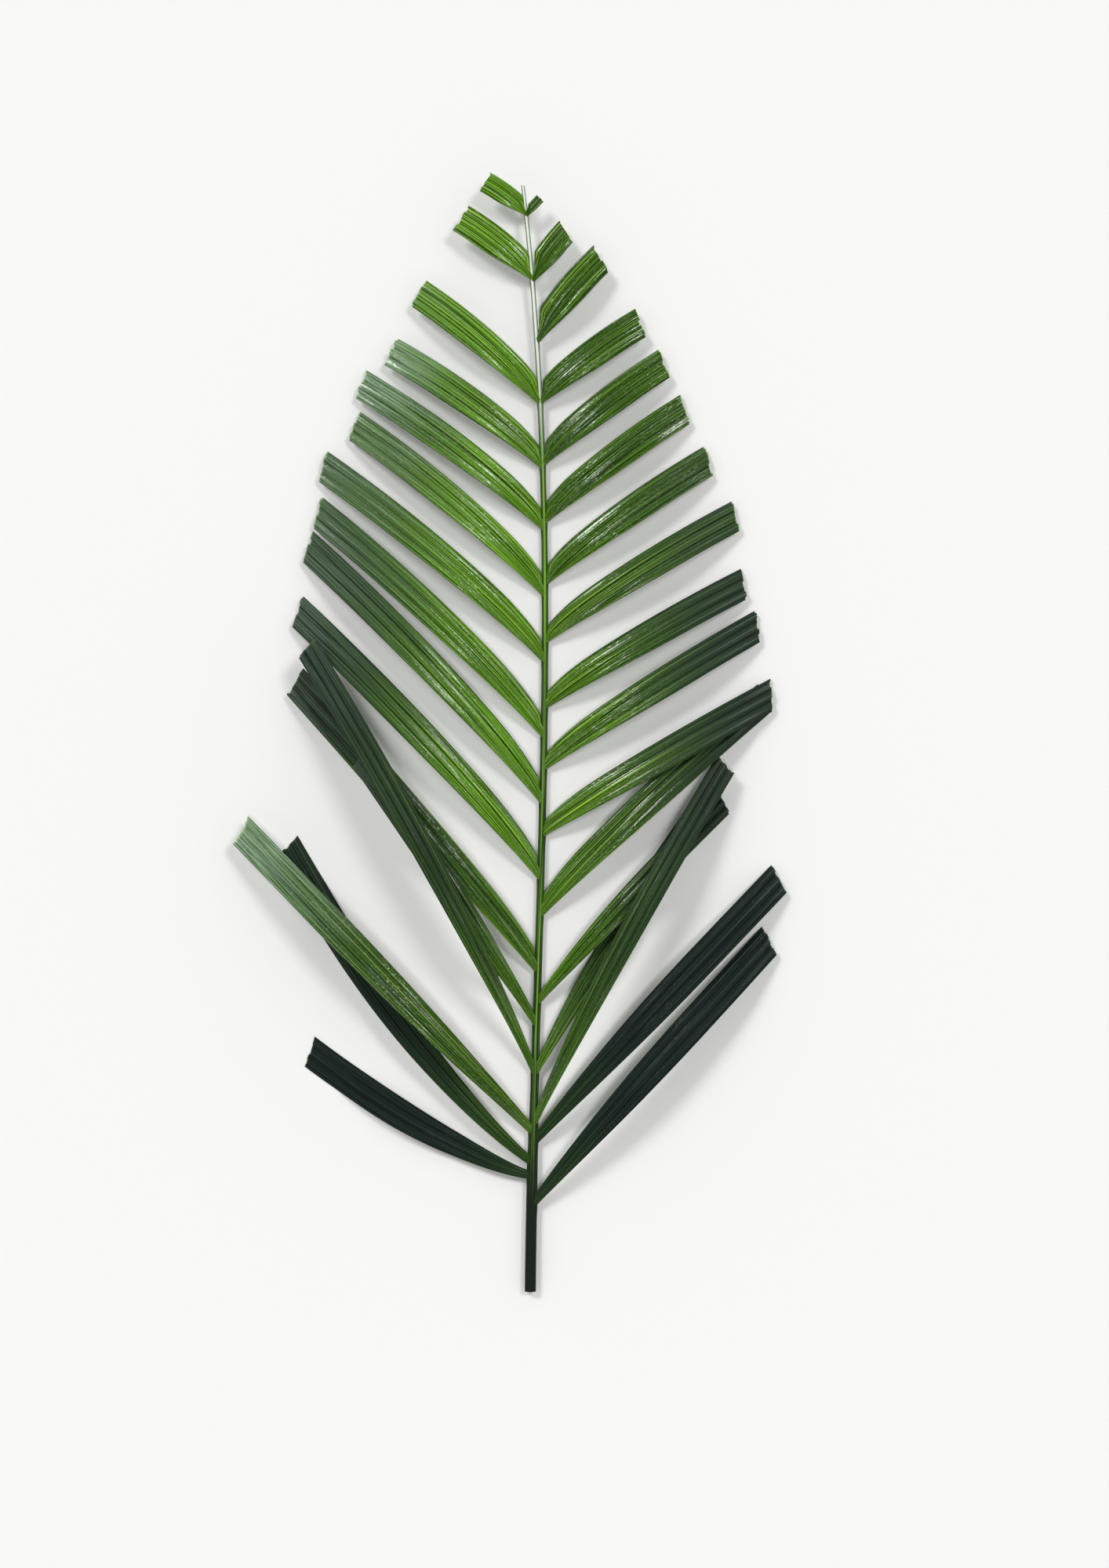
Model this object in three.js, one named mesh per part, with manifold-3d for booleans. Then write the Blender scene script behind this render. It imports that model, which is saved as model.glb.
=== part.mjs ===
// A preserved areca palm leaf, cut and trimmed, lying face up on a flat surface.
//
// Millimetres, +Z up. +Y runs from the cut end of the stalk to the tip of the leaf, and +X is the leaf's
// right seen from above. The origin is on the underside of the stalk, on the flat keel below the leaf's
// weight. The leaf is one body: a tapered stalk (petiole and rachis) with pleated leaflets on both sides.
import * as THREE from "three";
import { mergeVertices } from "three/addons/utils/BufferGeometryUtils.js";
import Module from "manifold-3d";

// Stalk
const STALK_LENGTH = 906;
const REST_STATION = 430; // distance of the origin from the cut end
const KEEL_END = 540; // the underside lies flat from the cut end to here
const TIP_LIFT = 14; // height of the underside at the very tip
const STALK_SWAY = [-11, -8, 18, -17]; // sideways Bezier offsets, from the cut end to the tip
const TIP_WIDTH = 2.8;
const RACHIS_WIDTH = 4.6; // added to the tip's width where the first leaflets grow
const RACHIS_TAPER = 0.55; // how late the rachis thins out towards the tip
const PETIOLE_WIDTH = 2.2; // added again below the first leaflets
const PETIOLE_FADE = [75, 180]; // stations between which the petiole narrows to the rachis
const STALK_HEIGHT_RATIO = 0.95; // height over width
const STALK_RINGS = 28;
// Half of the stalk's section, from the keel up to the rib on its face: [half widths, heights].
const STALK_SECTION = [[0.45, 0], [0.88, 0.25], [1, 0.52], [0.9, 0.75], [0.62, 0.91], [0.22, 1]];

// Leaflets whose tips were trimmed along one outline, from the tip of the leaf down, on each side. The roots
// run down from the first one, a pitch apart that grows a little each time. The lean is off the crossways
// line, in degrees: at mid length, more near the tip of the leaf, and more or less near its foot. The bend is
// that of the first leaflet and of the last. The outline's half width grows from its top over its run.
const LEFT = {
  side: -1,
  count: 11,
  missing: [2], // broken off
  firstRoot: 882,
  pitch: 48.9,
  pitchGrowth: 1.17,
  lean: 38.4,
  tipLean: 0,
  footLean: 9.8,
  bend: [12, 7],
  outline: { top: 941, run: 386, halfWidth: 200, power: 0.91 },
};
const RIGHT = {
  side: 1,
  count: 11,
  missing: [],
  firstRoot: 881,
  pitch: 49.8,
  pitchGrowth: 0.11,
  lean: 39.6,
  tipLean: 14.1,
  footLean: -9.3,
  bend: [12, 5],
  outline: { top: 901, run: 508, halfWidth: 192, power: 0.74 },
};
const TIP_LEAN_FADE = [1.5, 3.5]; // leaflets over which the added lean near the tip fades out
const LEAN_DRAW = 6.2; // degrees between the least and the most random lean
const LEAN_SEED = 1589162;
const ROOT_DRAW = 7.6; // as much for the roots
const ROOT_SEED = 4413;
const REACH_DRAW = 15; // and for the lengths, as the trimming is uneven
const REACH_SEED = 2477039;
const REACH_HALVINGS = 30;

// Leaflets at the foot of the leaf, which cross each other and reach past the outline:
// [root, lean, length, bend, lift]. The lift carries a leaflet over one that it crosses, or with a minus sign
// under it.
const LEFT_FOOT = [
  [263, 50, 310, 4, 0],
  [219, 57, 262, 4, 24],
  [179, 62, 395, 6, 24],
  [131, 46, 344, 2, 10],
  [106, 52, 330, -12, -11],
  [95, 29, 210, -12, -14],
];
const RIGHT_FOOT = [
  [309, 44, 256, 6, -4],
  [237, 47, 225, 5, 0],
  [179, 58, 243, 5, -10],
  [137, 62, 335, 5, 8],
  [122, 47, 296, 3, 0],
  [71, 48, 292, 3, 0],
];
const LEAFLET_WIDTH = 25;
const LEAST_WIDTH = 8;
const WIDTH_PER_LENGTH = 0.42; // short leaflets near the tip are narrower
const NARROW_WIDTH = 20; // leaflets that grow between the narrow stations
const NARROW_STATIONS = [135, 250];
const BLADE_THICKNESS = 0.8;
const ROOT_WIDTH_SHARE = 0.26; // width at the root over the full width
const ROOT_IN_STALK = 0.42; // most half width of a root over the stalk's width, so that it ends inside
// How a leaflet's edges leave its root: the share of the length where an edge is full, and how slowly it
// fills out. The edge towards the tip of the leaf is round, and as straight as the other at the leaf's foot.
const ROUND_EDGE = { full: 0.28, power: 0.5 };
const STRAIGHT_EDGE = { full: 0.7, power: 1.15 };
const STRAIGHT_BELOW = 250; // leaflets that grow below this station have no round edge
const RISE = 0.3; // slope with which a leaflet leaves the stalk
const TIP_CLEARANCE = 4; // height of a leaflet's tip over the underside of the stalk at its root
const LIFT_RUN = 0.35; // share of the length over which a lifted leaflet rises
const ROLL = 9; // degrees: each leaflet's edge towards the leaf's tip lies lower
const PLEATS = 3;
const PLEAT_DEPTH = 1.3;
const CROWN = 1.2; // how far the blade's middle stands above its edges
const FOOT_SLANT = 0.3; // how much further a foot leaflet reaches on its upper edge, over the half width
const MOST_SLANT = 0.45; // limit of that for the leaflets that end on the outline
const CUT_JAG = 0.22; // uneven cut, over the half width
const BLADE_STATIONS = 8;
const STATION_CROWDING = 1.5; // more stations near the root, where the blade widens
const ROOT_HEIGHT_SHARE = 0.62; // where the leaflets leave the stalk, over its height

const { cos, sin, max, min, sqrt, PI } = Math;
const radians = THREE.MathUtils.degToRad;
const { clamp, lerp, smoothstep } = THREE.MathUtils;

// The stalk's middle line, width and height at a distance from the cut end.
function stalkAt(station) {
  const t = station / STALK_LENGTH;
  const [a, b, c, d] = STALK_SWAY;
  const r = 1 - t;
  const x = a * r ** 3 + 3 * b * t * r ** 2 + 3 * c * t ** 2 * r + d * t ** 3;
  const rise = max(0, station - KEEL_END) / (STALK_LENGTH - KEEL_END);
  const petiole = 1 - smoothstep(station, ...PETIOLE_FADE);
  const width = TIP_WIDTH + RACHIS_WIDTH * max(0, r) ** RACHIS_TAPER + PETIOLE_WIDTH * petiole;
  return {
    x,
    y: station - REST_STATION,
    underside: TIP_LIFT * rise ** 2,
    width,
    height: width * STALK_HEIGHT_RATIO,
  };
}

// A closed solid through rings of points. A ring runs over a blade's upper face and back under it, or round
// a stalk. Both faces of a blade are split along the same diagonals, so that they stay parallel.
function loft(rings) {
  const count = rings[0].length;
  const half = count / 2;
  const index = [];
  const vertex = (ring, k) => ring * count + (k % count);
  for (let ring = 0; ring + 1 < rings.length; ring++) {
    for (let k = 0; k < count; k++) {
      const [a, b] = [vertex(ring, k), vertex(ring, k + 1)];
      const [c, d] = [vertex(ring + 1, k + 1), vertex(ring + 1, k)];
      if (k < half) index.push(a, c, b, a, d, c);
      else index.push(a, d, b, b, d, c);
    }
  }
  const last = (rings.length - 1) * count;
  for (let k = 0; k + 1 < half; k++) {
    const [a, b, c, d] = [k, k + 1, count - 2 - k, count - 1 - k];
    index.push(a, b, c, a, c, d);
    index.push(last + a, last + c, last + b, last + a, last + d, last + c);
  }
  const geometry = new THREE.BufferGeometry().setFromPoints(rings.flat());
  geometry.setIndex(index);
  return geometry;
}

// The stalk, from the cut end of the petiole to the tip of the rachis.
function stalkGeometry() {
  const right = STALK_SECTION;
  const left = [...STALK_SECTION].reverse().map(([w, h]) => [-w, h]);
  const section = [...right, ...left];
  const rings = [];
  for (let k = 0; k <= STALK_RINGS; k++) {
    const at = stalkAt((STALK_LENGTH * k) / STALK_RINGS);
    rings.push(section.map(([w, h]) =>
      new THREE.Vector3(at.x + (w * at.width) / 2, at.y, at.underside + h * at.height)));
  }
  return loft(rings);
}

// A repeatable draw from 0 to 1, for a leaflet's seed and what the draw is used for.
function draw(seed, use) {
  const wave = sin(seed * 12.9898 + use * 78.233) * 43758.5453;
  return wave - Math.floor(wave);
}

// How far a straight line from a root runs, at a lean and shifted sideways, until it meets the outline.
function trimmedReach(outline, root, lean, shift) {
  let [near, far] = [0, STALK_LENGTH];
  for (let step = 0; step < REACH_HALVINGS; step++) {
    const reach = (near + far) / 2;
    const crossways = reach * cos(lean) - shift * sin(lean);
    const below = outline.top - root - reach * sin(lean) - shift * cos(lean);
    const grown = sin((PI / 2) * clamp(below / outline.run, 0, 1)) ** outline.power;
    if (crossways < outline.halfWidth * grown) near = reach;
    else far = reach;
  }
  return near;
}

// The leaflets of one side: where each grows, its lean, length, bend, lift and the slant of its cut.
function leafletsOf(half, foot) {
  const leaflets = [];
  for (let k = 0; k < half.count; k++) {
    if (half.missing.includes(k)) continue;
    const seed = half.side * (k + 1);
    const run = half.pitch * k + (half.pitchGrowth * k * (k - 1)) / 2;
    const root = half.firstRoot - run + ROOT_DRAW * (draw(seed, ROOT_SEED) - 0.5);
    const nearTip = half.tipLean * (1 - smoothstep(k, ...TIP_LEAN_FADE));
    const down = k / (half.count - 1);
    const nearFoot = half.footLean * down ** 2;
    const lean = half.lean + nearTip + nearFoot + LEAN_DRAW * (draw(seed, LEAN_SEED) - 0.5);
    const reach = trimmedReach(half.outline, root, radians(lean), 0);
    const length = reach + REACH_DRAW * (draw(seed, REACH_SEED) - 0.5);
    const width = fullWidth(root, length);
    const upper = trimmedReach(half.outline, root, radians(lean), width / 2);
    const lower = trimmedReach(half.outline, root, radians(lean), -width / 2);
    const slant = min(MOST_SLANT, (upper - lower) / width);
    const bend = lerp(...half.bend, down);
    leaflets.push({ side: half.side, root, lean, length, width, bend, lift: 0, slant });
  }
  for (const [root, lean, length, bend, lift] of foot) {
    const width = fullWidth(root, length);
    leaflets.push({ side: half.side, root, lean, length, width, bend, lift, slant: FOOT_SLANT });
  }
  return leaflets;
}

// A leaflet's full width: narrower where it is short, and on one stretch near the foot of the leaf.
function fullWidth(root, length) {
  const narrow = root > NARROW_STATIONS[0] && root < NARROW_STATIONS[1];
  const full = narrow ? NARROW_WIDTH : LEAFLET_WIDTH;
  return max(LEAST_WIDTH, min(full, WIDTH_PER_LENGTH * length));
}

// The share of its full half width that an edge has, u of the way along the leaflet.
function edgeShare(u, edge, rootShare) {
  const left = 1 - min(1, u / edge.full);
  return lerp(rootShare, 1, (1 - left * left) ** edge.power);
}

// One pleated leaflet as a closed blade. Its side is -1 on the left and 1 on the right.
function leafletGeometry({ side, root, lean, length, width, bend, lift, slant }, seed) {
  const stalk = stalkAt(root);
  const halfWidth = width / 2;
  const rootShare = min(ROOT_WIDTH_SHARE, (ROOT_IN_STALK * stalk.width) / halfWidth);
  const rootHeight = stalk.underside + ROOT_HEIGHT_SHARE * stalk.height;
  const tipHeight = stalk.underside + TIP_CLEARANCE;
  const upperEdge = root < STRAIGHT_BELOW ? STRAIGHT_EDGE : ROUND_EDGE;
  const roll = radians(ROLL);
  const across = 2 * PLEATS;
  const place = new THREE.Vector2(stalk.x, stalk.y);
  const rings = [];
  let before = 0;
  for (let k = 0; k <= BLADE_STATIONS; k++) {
    const u = (k / BLADE_STATIONS) ** STATION_CROWDING;
    const heading = (at) => radians(lean + bend * (4 / 3 - 2 * sqrt(at)));
    const middle = heading((before + u) / 2);
    place.x += side * cos(middle) * (u - before) * length;
    place.y += sin(middle) * (u - before) * length;
    before = u;
    const angle = heading(u);
    const along = new THREE.Vector2(side * cos(angle), sin(angle));
    const upwards = new THREE.Vector2(-side * sin(angle), cos(angle));
    const climb = RISE * length;
    const arch = rootHeight + climb * u + (tipHeight - rootHeight - climb) * u ** 2;
    const height = arch + lift * smoothstep(u, 0, LIFT_RUN);
    const out = side * (place.x - stalk.x);
    const inward = ROOT_IN_STALK * (stalk.width - 2 * min(out, stalk.width));
    const room = (out + inward) / sin(angle); // keeps the edge on its own side of the stalk
    const upper = [];
    const lower = [];
    for (let j = 0; j <= across; j++) {
      const v = (2 * j) / across - 1;
      const share = edgeShare(u, v > 0 ? upperEdge : STRAIGHT_EDGE, rootShare);
      const offset = v * (v > 0 ? min(halfWidth * share, room) : halfWidth * share);
      const jag = k === BLADE_STATIONS ? CUT_JAG * (draw(seed, j) - 0.5) + slant * v : 0;
      const point = place.clone().addScaledVector(upwards, offset * cos(roll));
      point.addScaledVector(along, jag * halfWidth);
      const pleat = share * (PLEAT_DEPTH * ((j % 2) - 0.5) + CROWN * (1 - v * v));
      const z = max(0, height + pleat - offset * sin(roll) - BLADE_THICKNESS / 2);
      upper.push(new THREE.Vector3(point.x, point.y, z + BLADE_THICKNESS));
      lower.push(new THREE.Vector3(point.x, point.y, z));
    }
    rings.push(side > 0 ? [...upper, ...lower.reverse()] : [...upper.reverse(), ...lower]);
  }
  return loft(rings);
}

const wasm = await Module();
wasm.setup();

function solidOf(geometry) {
  const merged = mergeVertices(geometry, 1e-4);
  const mesh = new wasm.Mesh({
    numProp: 3,
    vertProperties: merged.attributes.position.array,
    triVerts: new Uint32Array(merged.index.array),
  });
  return new wasm.Manifold(mesh);
}

function geometryOf(solid) {
  const mesh = solid.getMesh();
  const geometry = new THREE.BufferGeometry();
  geometry.setAttribute("position", new THREE.BufferAttribute(mesh.vertProperties, 3));
  geometry.setIndex(new THREE.BufferAttribute(mesh.triVerts, 1));
  geometry.computeVertexNormals();
  return geometry;
}

const leaflets = [...leafletsOf(LEFT, LEFT_FOOT), ...leafletsOf(RIGHT, RIGHT_FOOT)];
let leaf = solidOf(stalkGeometry());
leaflets.forEach((leaflet, k) => {
  leaf = leaf.add(solidOf(leafletGeometry(leaflet, k)));
});

const green = new THREE.MeshStandardMaterial({ color: 0x3f6a24, roughness: 0.5, metalness: 0 });
const palmLeaf = new THREE.Mesh(geometryOf(leaf), green);
palmLeaf.name = "palm_leaf";
const part = new THREE.Group();
part.add(palmLeaf);

export default part;
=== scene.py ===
"""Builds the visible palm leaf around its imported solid: a ribbed stalk and pleated, rib-marked leaflets in
the greens of a preserved leaf, lying face up on a pale floor. Sizes are in metres, in the solid's frame."""

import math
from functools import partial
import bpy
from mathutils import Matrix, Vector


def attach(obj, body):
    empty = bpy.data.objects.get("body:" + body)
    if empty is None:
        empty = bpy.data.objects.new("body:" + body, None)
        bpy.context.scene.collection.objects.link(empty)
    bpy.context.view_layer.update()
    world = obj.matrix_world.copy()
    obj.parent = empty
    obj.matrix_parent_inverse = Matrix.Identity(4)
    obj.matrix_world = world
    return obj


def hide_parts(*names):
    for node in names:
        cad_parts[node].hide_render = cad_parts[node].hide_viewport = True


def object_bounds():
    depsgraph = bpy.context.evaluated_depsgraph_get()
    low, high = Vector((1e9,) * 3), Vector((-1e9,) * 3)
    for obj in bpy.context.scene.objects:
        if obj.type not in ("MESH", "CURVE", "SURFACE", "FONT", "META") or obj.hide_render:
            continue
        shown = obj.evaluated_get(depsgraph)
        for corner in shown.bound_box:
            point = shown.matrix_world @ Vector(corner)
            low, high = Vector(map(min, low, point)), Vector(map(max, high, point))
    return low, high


bl_info = {
    "name": "Preserved Palm Leaf",
    "version": (1, 0, 0),
    "blender": (4, 5, 0),
    "location": "3D View > Sidebar > Palm Leaf",
    "description": "Builds a preserved areca palm leaf, lying face up, with its stalk, leaflets and stage",
    "category": "Add Mesh",
}

from types import SimpleNamespace

import bpy
import numpy as np
from bpy.props import FloatProperty, FloatVectorProperty, IntProperty, PointerProperty
from mathutils import Vector

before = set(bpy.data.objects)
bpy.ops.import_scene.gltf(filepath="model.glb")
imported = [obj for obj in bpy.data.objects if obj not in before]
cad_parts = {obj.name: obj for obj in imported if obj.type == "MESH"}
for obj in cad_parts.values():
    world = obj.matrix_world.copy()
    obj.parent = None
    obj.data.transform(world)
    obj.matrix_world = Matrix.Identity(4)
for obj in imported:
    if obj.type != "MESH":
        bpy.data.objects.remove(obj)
CAD_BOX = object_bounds()

NODE = "palm_leaf"
BODY = "root"
MM = 0.001

# The photograph's frame: its size, the pixel over the leaf's origin, and a pixel's width at the leaf.
PHOTO_SIZE = (1414, 2000)
ORIGIN_PIXEL = (693.1, 979.1)
PIXEL_WIDTH = 0.64 * MM

# Leaflets at the foot of the leaf: root, lean, length, bend and lift in mm and degrees, then darkness,
# which is partly the leaves' own blackish tone and partly painted shade.
LEFT_FOOT = (
    (263, 50, 310, 4, 0, 0.3),
    (219, 57, 262, 4, 24, 0.35),
    (179, 62, 395, 6, 24, 0.6),
    (131, 46, 344, 2, 10, 0),
    (106, 52, 330, -12, -11, 0.9),
    (95, 29, 210, -12, -14, 1.0),
)
RIGHT_FOOT = (
    (309, 44, 256, 6, -4, 0.15),
    (237, 47, 225, 5, 0, 0.2),
    (179, 58, 243, 5, -10, 0.4),
    (137, 62, 335, 5, 8, 0.5),
    (122, 47, 296, 3, 0, 1.0),
    (71, 48, 292, 3, 0, 1.0),
)

# Leaflets trimmed along one outline, from the tip of the leaf down. Roots are measured from the cut end.
# The lean is off the crossways line, in degrees: at mid length, more near the tip of the leaf, and more
# near its foot. The bend is that of the first leaflet and of the last. The deeper green share is painted
# shade on the right half, which is turned from the light. The sheen share is painted sheen on grey tips,
# on the left half for the light that grazes them. A leaflet rooted below the first place of grey or of
# tip_shade has a fully grey or blackish tip, and one above the second place has none of it. The grey is
# partly painted sheen, and the blackish tip partly painted shade.
LEFT = {
    "name": "left",
    "side": -1,
    "count": 11,
    "missing": (2,),
    "first_root": 882 * MM,
    "pitch": 48.9 * MM,
    "pitch_growth": 1.17 * MM,
    "lean": 38.4,
    "tip_lean": 0,
    "foot_lean": 9.8,
    "bend": (12, 7),
    "deep": 0,
    # Painted sheen on the tips of this side, for the light that grazes them.
    "painted_sheen": 0.25,
    "grey": (620 * MM, 780 * MM),
    "tip_shade": (300 * MM, 640 * MM),
    "outline": {"top": 941 * MM, "run": 386 * MM, "half_width": 200 * MM, "power": 0.91},
    "foot": LEFT_FOOT,
}
RIGHT = {
    "name": "right",
    "side": 1,
    "count": 11,
    "missing": (),
    "first_root": 881 * MM,
    "pitch": 49.8 * MM,
    "pitch_growth": 0.11 * MM,
    "lean": 39.6,
    "tip_lean": 14.1,
    "foot_lean": -9.3,
    "bend": (12, 5),
    # Painted shade: the right half is a deeper green, as it is turned from the light.
    "deep": 0.66,
    "painted_sheen": 0,
    "grey": (440 * MM, 640 * MM),
    "tip_shade": (420 * MM, 700 * MM),
    "outline": {"top": 901 * MM, "run": 508 * MM, "half_width": 192 * MM, "power": 0.74},
    "foot": RIGHT_FOOT,
}

# The added lean near the tip fades out between these leaflets, counted from the tip.
TIP_LEAN_FADE = (1.5, 3.5)

# How far draws set a trimmed leaflet off its rule, with seeds whose draws follow the real leaf.
LEAN_DRAW = 6.2
LEAN_SEED = 1589162
ROOT_DRAW = 7.6 * MM
ROOT_SEED = 4413
REACH_DRAW = 15 * MM
REACH_SEED = 2477039
REACH_HALVINGS = 30

# Factors of the repeatable draw.
SEED_FACTOR = 12.9898
USE_FACTOR = 78.233
WAVE_FACTOR = 43758.5453

# Slant of the cut tips, over the width.
FOOT_SLANT = 0.3
MOST_SLANT = 0.45

# Shares of grey, deeper green and blackish green, for the foot and the tips: the grey is partly painted
# sheen, the deeper and the blackish green partly painted shade.
FOOT_GREY = 0.5
FOOT_DEEP_GREEN_AND_SHADE = 0.8
TIP_SHADE = 0.85


def to_linear(code):
    """An sRGB hex colour as linear red, green and blue."""
    parts = [int(code[k:k + 2], 16) / 255 for k in (1, 3, 5)]
    return [c / 12.92 if c <= 0.04045 else ((c + 0.055) / 1.055) ** 2.4 for c in parts]


def colour(name, description, code):
    """A colour setting whose default is an sRGB hex value."""
    return FloatVectorProperty(name=name, description=description, default=to_linear(code), subtype="COLOR",
                               min=0, max=1)


def metres(name, description, default):
    """A length setting in metres."""
    return FloatProperty(name=name, description=description, default=default, unit="LENGTH", precision=5)


class StalkSettings(bpy.types.PropertyGroup):
    """Sizes of the stalk"""
    length: metres("Length", "From the cut end to the tip", 906 * MM)
    rest_station: metres("Rest", "Distance of the leaf's origin from the cut end", 430 * MM)
    keel_end: metres("Keel end", "The underside lies flat from the cut end to here", 540 * MM)
    tip_lift: metres("Tip lift", "Height of the underside at the tip", 14 * MM)
    sway: FloatVectorProperty(name="Sway", description="Sideways Bezier offsets from the cut end to the tip",
                              default=(-11 * MM, -8 * MM, 18 * MM, -17 * MM), size=4, unit="LENGTH")
    tip_width: metres("Tip width", "Width at the tip", 2.8 * MM)
    rachis_width: metres("Rachis width", "Added to the tip's width where the leaflets grow", 4.6 * MM)
    rachis_taper: FloatProperty(name="Taper", description="How late the rachis thins out", default=0.55)
    petiole_width: metres("Petiole width", "Added again below the leaflets", 2.2 * MM)
    petiole_fade: FloatVectorProperty(name="Petiole fade", description="Where the petiole narrows",
                                      default=(75 * MM, 180 * MM), size=2, unit="LENGTH")
    height_ratio: FloatProperty(name="Height", description="Height over width", default=0.95)
    groove: FloatProperty(name="Groove", description="Depth of the face's two grooves over the height",
                          default=0.09)
    swelling: metres("Swelling", "How far the stalk swells at a leaflet's root", 0.45 * MM)


class LeafletSettings(bpy.types.PropertyGroup):
    """Sizes of the leaflets"""
    width: metres("Width", "Full width of a leaflet", 25 * MM)
    least_width: metres("Least width", "Width of the shortest leaflets", 8 * MM)
    width_per_length: FloatProperty(name="Width per length", description="For short leaflets", default=0.42)
    narrow_width: metres("Narrow width", "Width of leaflets between the narrow stations", 20 * MM)
    narrow_stations: FloatVectorProperty(name="Narrow stations", size=2, unit="LENGTH",
                                         description="Where the narrow leaflets grow",
                                         default=(135 * MM, 250 * MM))
    thickness: metres("Thickness", "Thickness of a blade", 0.6 * MM)
    root_share: FloatProperty(name="Root width", description="Width at the root over the full width",
                              default=0.26)
    root_in_stalk: FloatProperty(name="Root in stalk", default=0.42,
                                 description="Most half width of a root over the stalk's width")
    root_height: FloatProperty(name="Root height", default=0.62,
                               description="Where leaflets leave the stalk, over its height")
    root_bulge: metres("Root bulge", "Added thickness of the swollen root", 1.6 * MM)
    root_bulge_run: metres("Bulge run", "How far the swollen root reaches", 7 * MM)
    rise: FloatProperty(name="Rise", description="Slope with which a leaflet leaves the stalk", default=0.3)
    tip_clearance: metres("Tip clearance", "Height of a tip over the stalk's underside at its root", 4 * MM)
    lift_run: FloatProperty(name="Lift run", description="Share of the length over which a lift grows",
                            default=0.35)
    roll: FloatProperty(name="Roll", description="How far the edge towards the tip lies lower",
                        default=math.radians(9), unit="ROTATION")
    pleats: IntProperty(name="Pleats", description="Folds across a leaflet", default=3)
    pleat_depth: metres("Pleat depth", "Height of a fold", 1.3 * MM)
    crown: metres("Crown", "How far a blade's middle stands above its edges", 1.2 * MM)
    ribs: IntProperty(name="Ribs", description="Fine ribs on each fold", default=4)
    rib_depth: metres("Rib depth", "Height of the strongest fine rib", 0.34 * MM)
    jag: FloatProperty(name="Jag", description="Unevenness of the cut tip over the half width", default=0.16)
    ripple: metres("Ripple", "Slow waves along a blade", 0.35 * MM)


class ColourSettings(bpy.types.PropertyGroup):
    """Colours of the leaf"""
    crest: colour("Crest", "Fresh green along the ribs", "#70a722")
    fresh: colour("Fresh", "Green of a fresh blade", "#234607")
    # The valley green also paints shade: in the folds, between the ribs and on the right half.
    valley: colour("Valley", "Deep green in the folds", "#0f2005")
    # The grey green is partly the tips' own grey and partly painted sheen.
    dull: colour("Dull", "Grey green towards the tips", "#3f5738")
    # The blackish green is partly the leaves' own tone and partly painted shade.
    dark: colour("Dark", "Blackish green of the leaflets at the foot", "#0e151b")
    root: colour("Root", "Yellow green at a leaflet's root", "#4f7218")
    vein: colour("Vein", "Yellow green of the strongest ribs", "#a4d044")
    # This pale colour is painted sheen on some tips and painted highlight along the folds of grey tips.
    painted_sheen: colour("Bloom", "Pale bloom on the tips of some leaflets", "#a3bfa4")
    rim: colour("Rim", "Dry, pale edge of a cut tip", "#b9cf98")
    under: colour("Underside", "Matt green of a blade's underside", "#61784d")
    # Near the tip the rind is pale, and its face carries a painted highlight in this colour.
    pale_tip_and_highlight: colour("Rind at the tip", "Pale rind near the tip of the stalk", "#eaf2e6")
    rind: colour("Rind", "Green rind of the rachis", "#7db23f")
    rind_groove: colour("Rind groove", "Dark green beside the rib of the rachis", "#203512")
    petiole: colour("Petiole", "Blackish rind of the petiole", "#0c0f0f")
    pith: colour("Pith", "Dry pith at the cut", "#8c8155")
    fibre: colour("Fibre", "Dark ends of the fibres in the pith", "#4a4028")
    floor: colour("Floor", "Pale floor", "#f2f2f0")


class PalmLeafSettings(bpy.types.PropertyGroup):
    """All settings of the leaf"""
    stalk: PointerProperty(type=StalkSettings)
    leaflet: PointerProperty(type=LeafletSettings)
    colours: PointerProperty(type=ColourSettings)


def settings():
    """The leaf's settings in the current scene."""
    return bpy.context.scene.palm_leaf


# Shape of the leaf

def smooth(value, low, high):
    """A smooth step from 0 to 1 between two values."""
    share = np.clip((value - low) / (high - low), 0, 1)
    return share * share * (3 - 2 * share)


def draw(seed, use):
    """A repeatable draw from 0 to 1, for a leaflet's seed and what the draw is used for."""
    wave = math.sin(seed * SEED_FACTOR + use * USE_FACTOR) * WAVE_FACTOR
    return wave - math.floor(wave)


def stalk_at(station):
    """The stalk's middle line, underside, width and height at distances from the cut end."""
    stalk = settings().stalk
    share = station / stalk.length
    rest = np.clip(1 - share, 0, 1)
    start, first, second, end = stalk.sway
    x = start * rest ** 3 + 3 * first * share * rest ** 2 + 3 * second * share ** 2 * rest + end * share ** 3
    rise = np.maximum(0, station - stalk.keel_end) / (stalk.length - stalk.keel_end)
    petiole = 1 - smooth(station, *stalk.petiole_fade)
    rachis = rest ** stalk.rachis_taper
    width = stalk.tip_width + stalk.rachis_width * rachis + stalk.petiole_width * petiole
    return {
        "x": x,
        "y": station - stalk.rest_station,
        "underside": stalk.tip_lift * rise ** 2,
        "width": width,
        "height": width * stalk.height_ratio,
    }


def trimmed_reach(outline, root, lean, shift):
    """How far a line from a root runs, at a lean and shifted sideways, until it meets the trimmed
    outline."""
    near, far = 0, settings().stalk.length
    for _ in range(REACH_HALVINGS):
        reach = (near + far) / 2
        crossways = reach * math.cos(lean) - shift * math.sin(lean)
        below = outline["top"] - root - reach * math.sin(lean) - shift * math.cos(lean)
        grown = math.sin(math.pi / 2 * min(max(below / outline["run"], 0), 1)) ** outline["power"]
        if crossways < outline["half_width"] * grown:
            near = reach
        else:
            far = reach
    return near


def full_width(root, reach):
    """A leaflet's full width: narrower where it is short, and on one stretch near the foot of the leaf."""
    leaflet = settings().leaflet
    low, high = leaflet.narrow_stations
    full = leaflet.narrow_width if low < root < high else leaflet.width
    return max(leaflet.least_width, min(full, leaflet.width_per_length * reach))


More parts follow.
